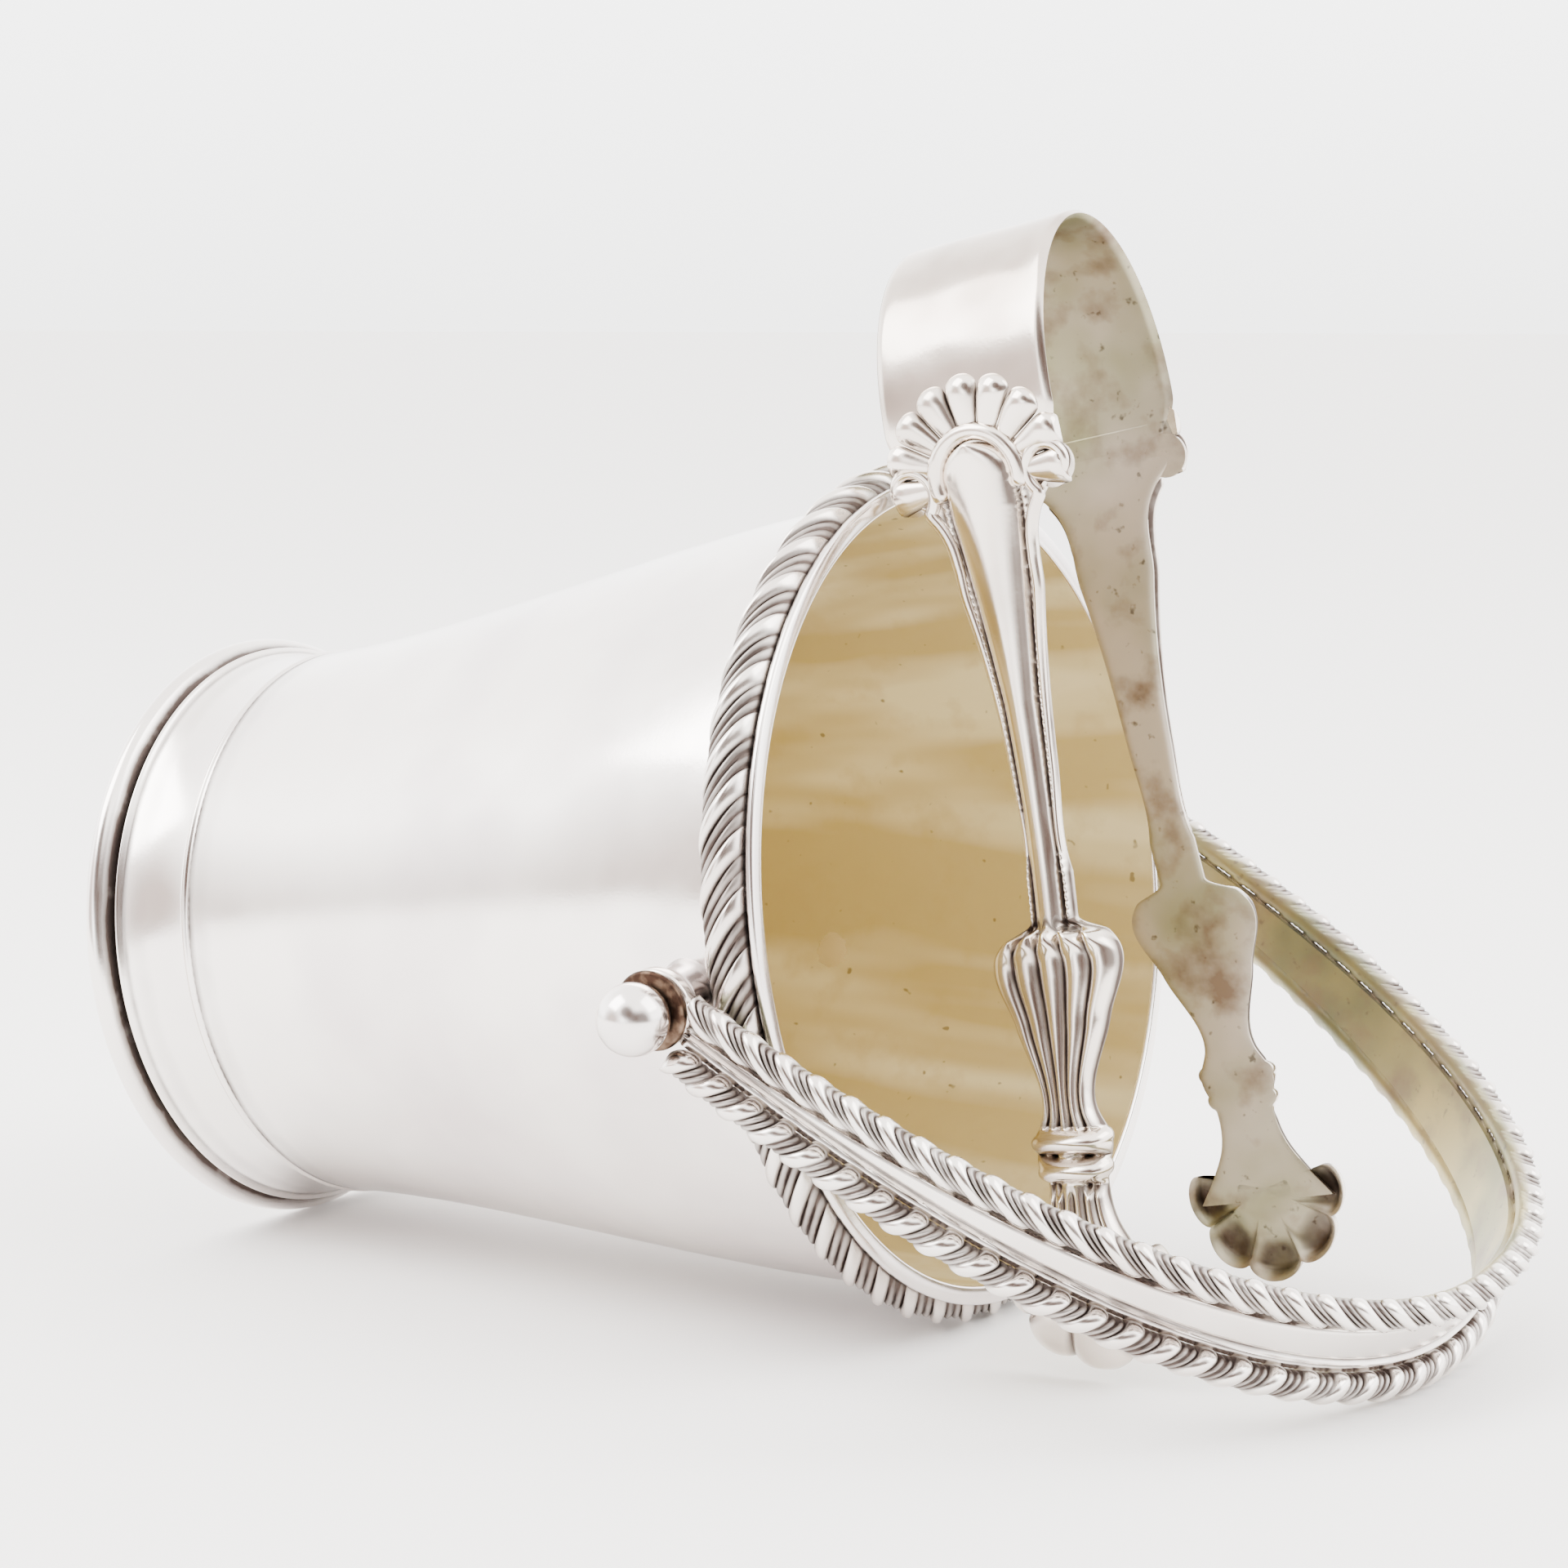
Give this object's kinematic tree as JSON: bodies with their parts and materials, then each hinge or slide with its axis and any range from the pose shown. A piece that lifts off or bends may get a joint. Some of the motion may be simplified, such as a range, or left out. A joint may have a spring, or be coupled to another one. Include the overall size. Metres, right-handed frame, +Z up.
{
  "type": "ice pail with tongs",
  "caption": "Small silver ice pail on its side, with gadroon rim, spread foot, arched swing handle on ball-capped pivots, and sprung ice tongs leaning on the rim.",
  "frame": {"origin": "on the surface the set lies on, under the centre of its bounding box", "axes": "+Z up; +X along the surface from the pail's foot to its mouth; +Y from the near pivot of the handle to the far one"},
  "size_m": [0.2092, 0.1456, 0.1542],
  "materials": {
    "silver": "polished silver, hand worn, dark in the recesses",
    "gilt": "worn gilding, satin",
    "tarnish": "tarnished silver"
  },
  "bodies": {
    "pail": {"pail_body": "silver", "pail_base": "gilt", "foot_ring": "silver", "foot_edge": "silver", "rim_border": "silver", "rim_lip": "silver", "near_boss": "silver", "near_pin": "silver", "near_washer": "tarnish", "near_ball": "silver", "far_boss": "silver", "far_pin": "silver", "far_washer": "tarnish", "far_ball": "silver"},
    "handle": {"handle_strap": "silver", "handle_border_left": "silver", "handle_border_right": "silver", "near_eye": "silver", "far_eye": "silver"},
    "tongs_bow": {"tongs_crown": "silver"},
    "tongs_near": {"tongs_near_leaf": "silver", "tongs_near_arm": "silver"},
    "tongs_far": {"tongs_far_leaf": "silver", "tongs_far_arm": "silver"}
  },
  "joints": [
    {"name": "handle_swing", "type": "hinge", "parent": "pail", "child": "handle", "pos_m": [0.01408, 0, 0.05878], "axis": [0.0132, -0.9945, -0.1037], "range_deg": [0, 90]},
    {"name": "tongs_lift", "type": "slide", "parent": "pail", "child": "tongs_bow", "axis": [0, 0, 1], "range_m": [0, 0.15]},
    {"name": "tongs_near_squeeze", "type": "hinge", "parent": "tongs_bow", "child": "tongs_near", "pos_m": [0.02784, -0.005, 0.1475], "axis": [0.9766, 0, 0.2149], "range_deg": [0, 9.4], "stiffness_Nm_per_rad": 2},
    {"name": "tongs_far_squeeze", "type": "hinge", "parent": "tongs_bow", "child": "tongs_far", "pos_m": [0.02784, 0.013, 0.1475], "axis": [-0.9766, 0, -0.2149], "range_deg": [0, 9.4], "stiffness_Nm_per_rad": 2}
  ],
  "couplings": [
    {"joint": "tongs_far_squeeze", "follows": "tongs_near_squeeze", "ratio": 1}
  ]
}
